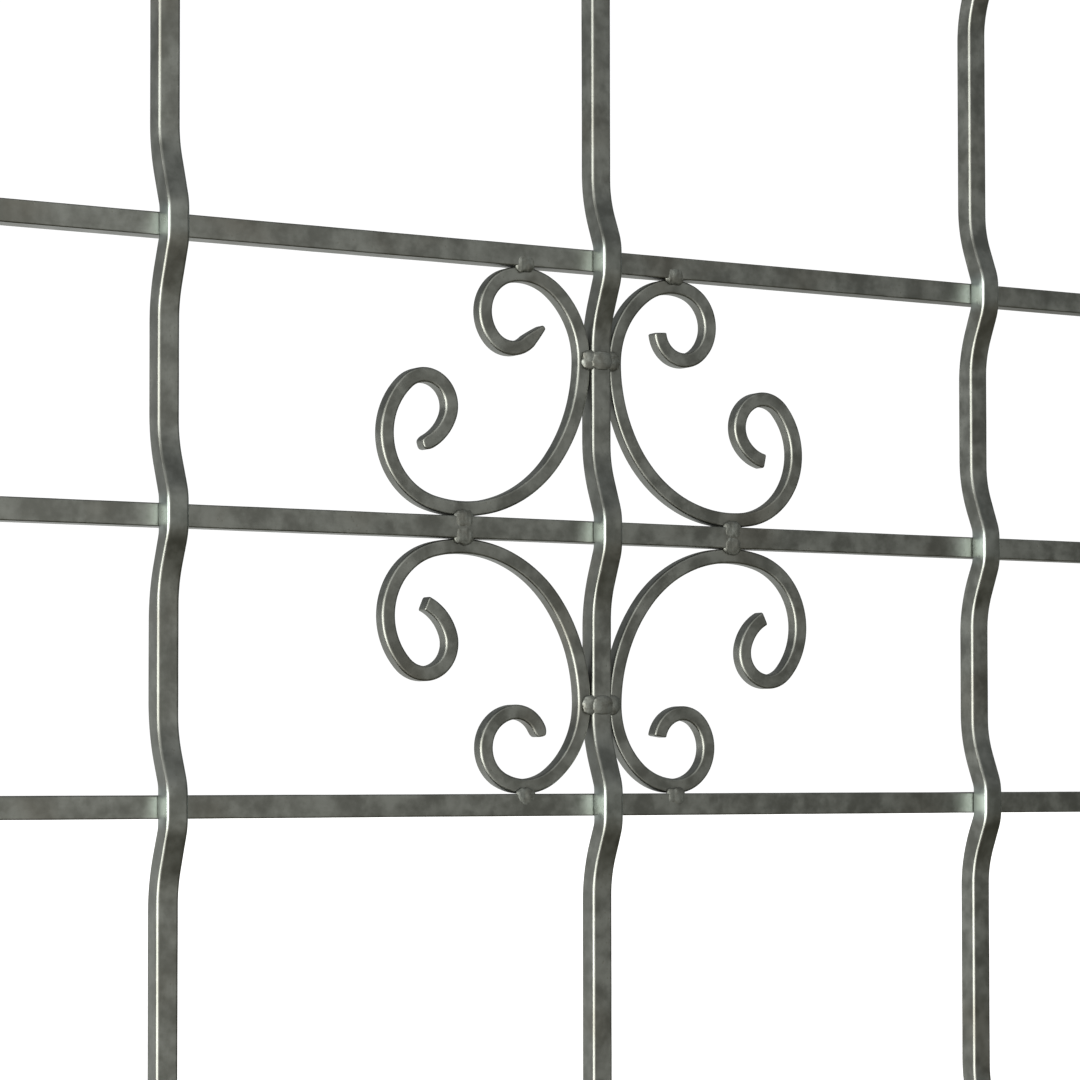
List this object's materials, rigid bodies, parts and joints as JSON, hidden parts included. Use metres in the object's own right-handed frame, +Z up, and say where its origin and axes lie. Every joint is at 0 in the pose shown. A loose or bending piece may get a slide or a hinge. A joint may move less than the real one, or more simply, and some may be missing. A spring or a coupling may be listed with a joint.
{
  "type": "window security grille",
  "caption": "Flat window security grille of square steel bar: crimped uprights over level rails, C-scrolls round the centre, and a screw plate on each rail end.",
  "frame": {"origin": "centre of the panel, where the centre bar crosses the middle rail, on the rails' centre plane", "axes": "+X along the rails, +Y into the room, +Z up along the bars"},
  "size_m": [0.784, 0.04, 0.846],
  "materials": {
    "bar_steel": "dull hot-rolled, rounded edges, faint grey zinc bloom",
    "rail_steel": "dull hot-rolled",
    "scroll_steel": "dull hot-rolled, polished on the tight bends",
    "plate_steel": "dull flat bar",
    "weld_metal": "rough weld bead"
  },
  "bodies": {
    "root": {"bar_left": "bar_steel", "bar_centre": "bar_steel", "bar_right": "bar_steel", "rail_top": "rail_steel", "rail_upper": "rail_steel", "rail_middle": "rail_steel", "rail_lower": "rail_steel", "rail_bottom": "rail_steel", "scroll_upper_left": "scroll_steel", "scroll_upper_right": "scroll_steel", "scroll_lower_left": "scroll_steel", "scroll_lower_right": "scroll_steel", "plate_top_left": "plate_steel", "plate_upper_left": "plate_steel", "plate_middle_left": "plate_steel", "plate_lower_left": "plate_steel", "plate_bottom_left": "plate_steel", "plate_top_right": "plate_steel", "plate_upper_right": "plate_steel", "plate_middle_right": "plate_steel", "plate_lower_right": "plate_steel", "plate_bottom_right": "plate_steel", "crossing_welds_top": "weld_metal", "crossing_welds_upper": "weld_metal", "crossing_welds_middle": "weld_metal", "crossing_welds_lower": "weld_metal", "crossing_welds_bottom": "weld_metal", "scroll_welds_upper_left": "weld_metal", "scroll_welds_upper_right": "weld_metal", "scroll_welds_lower_left": "weld_metal", "scroll_welds_lower_right": "weld_metal", "centre_weld_upper": "weld_metal", "centre_weld_lower": "weld_metal", "plate_welds_left": "weld_metal", "plate_welds_right": "weld_metal"}
  },
  "joints": []
}
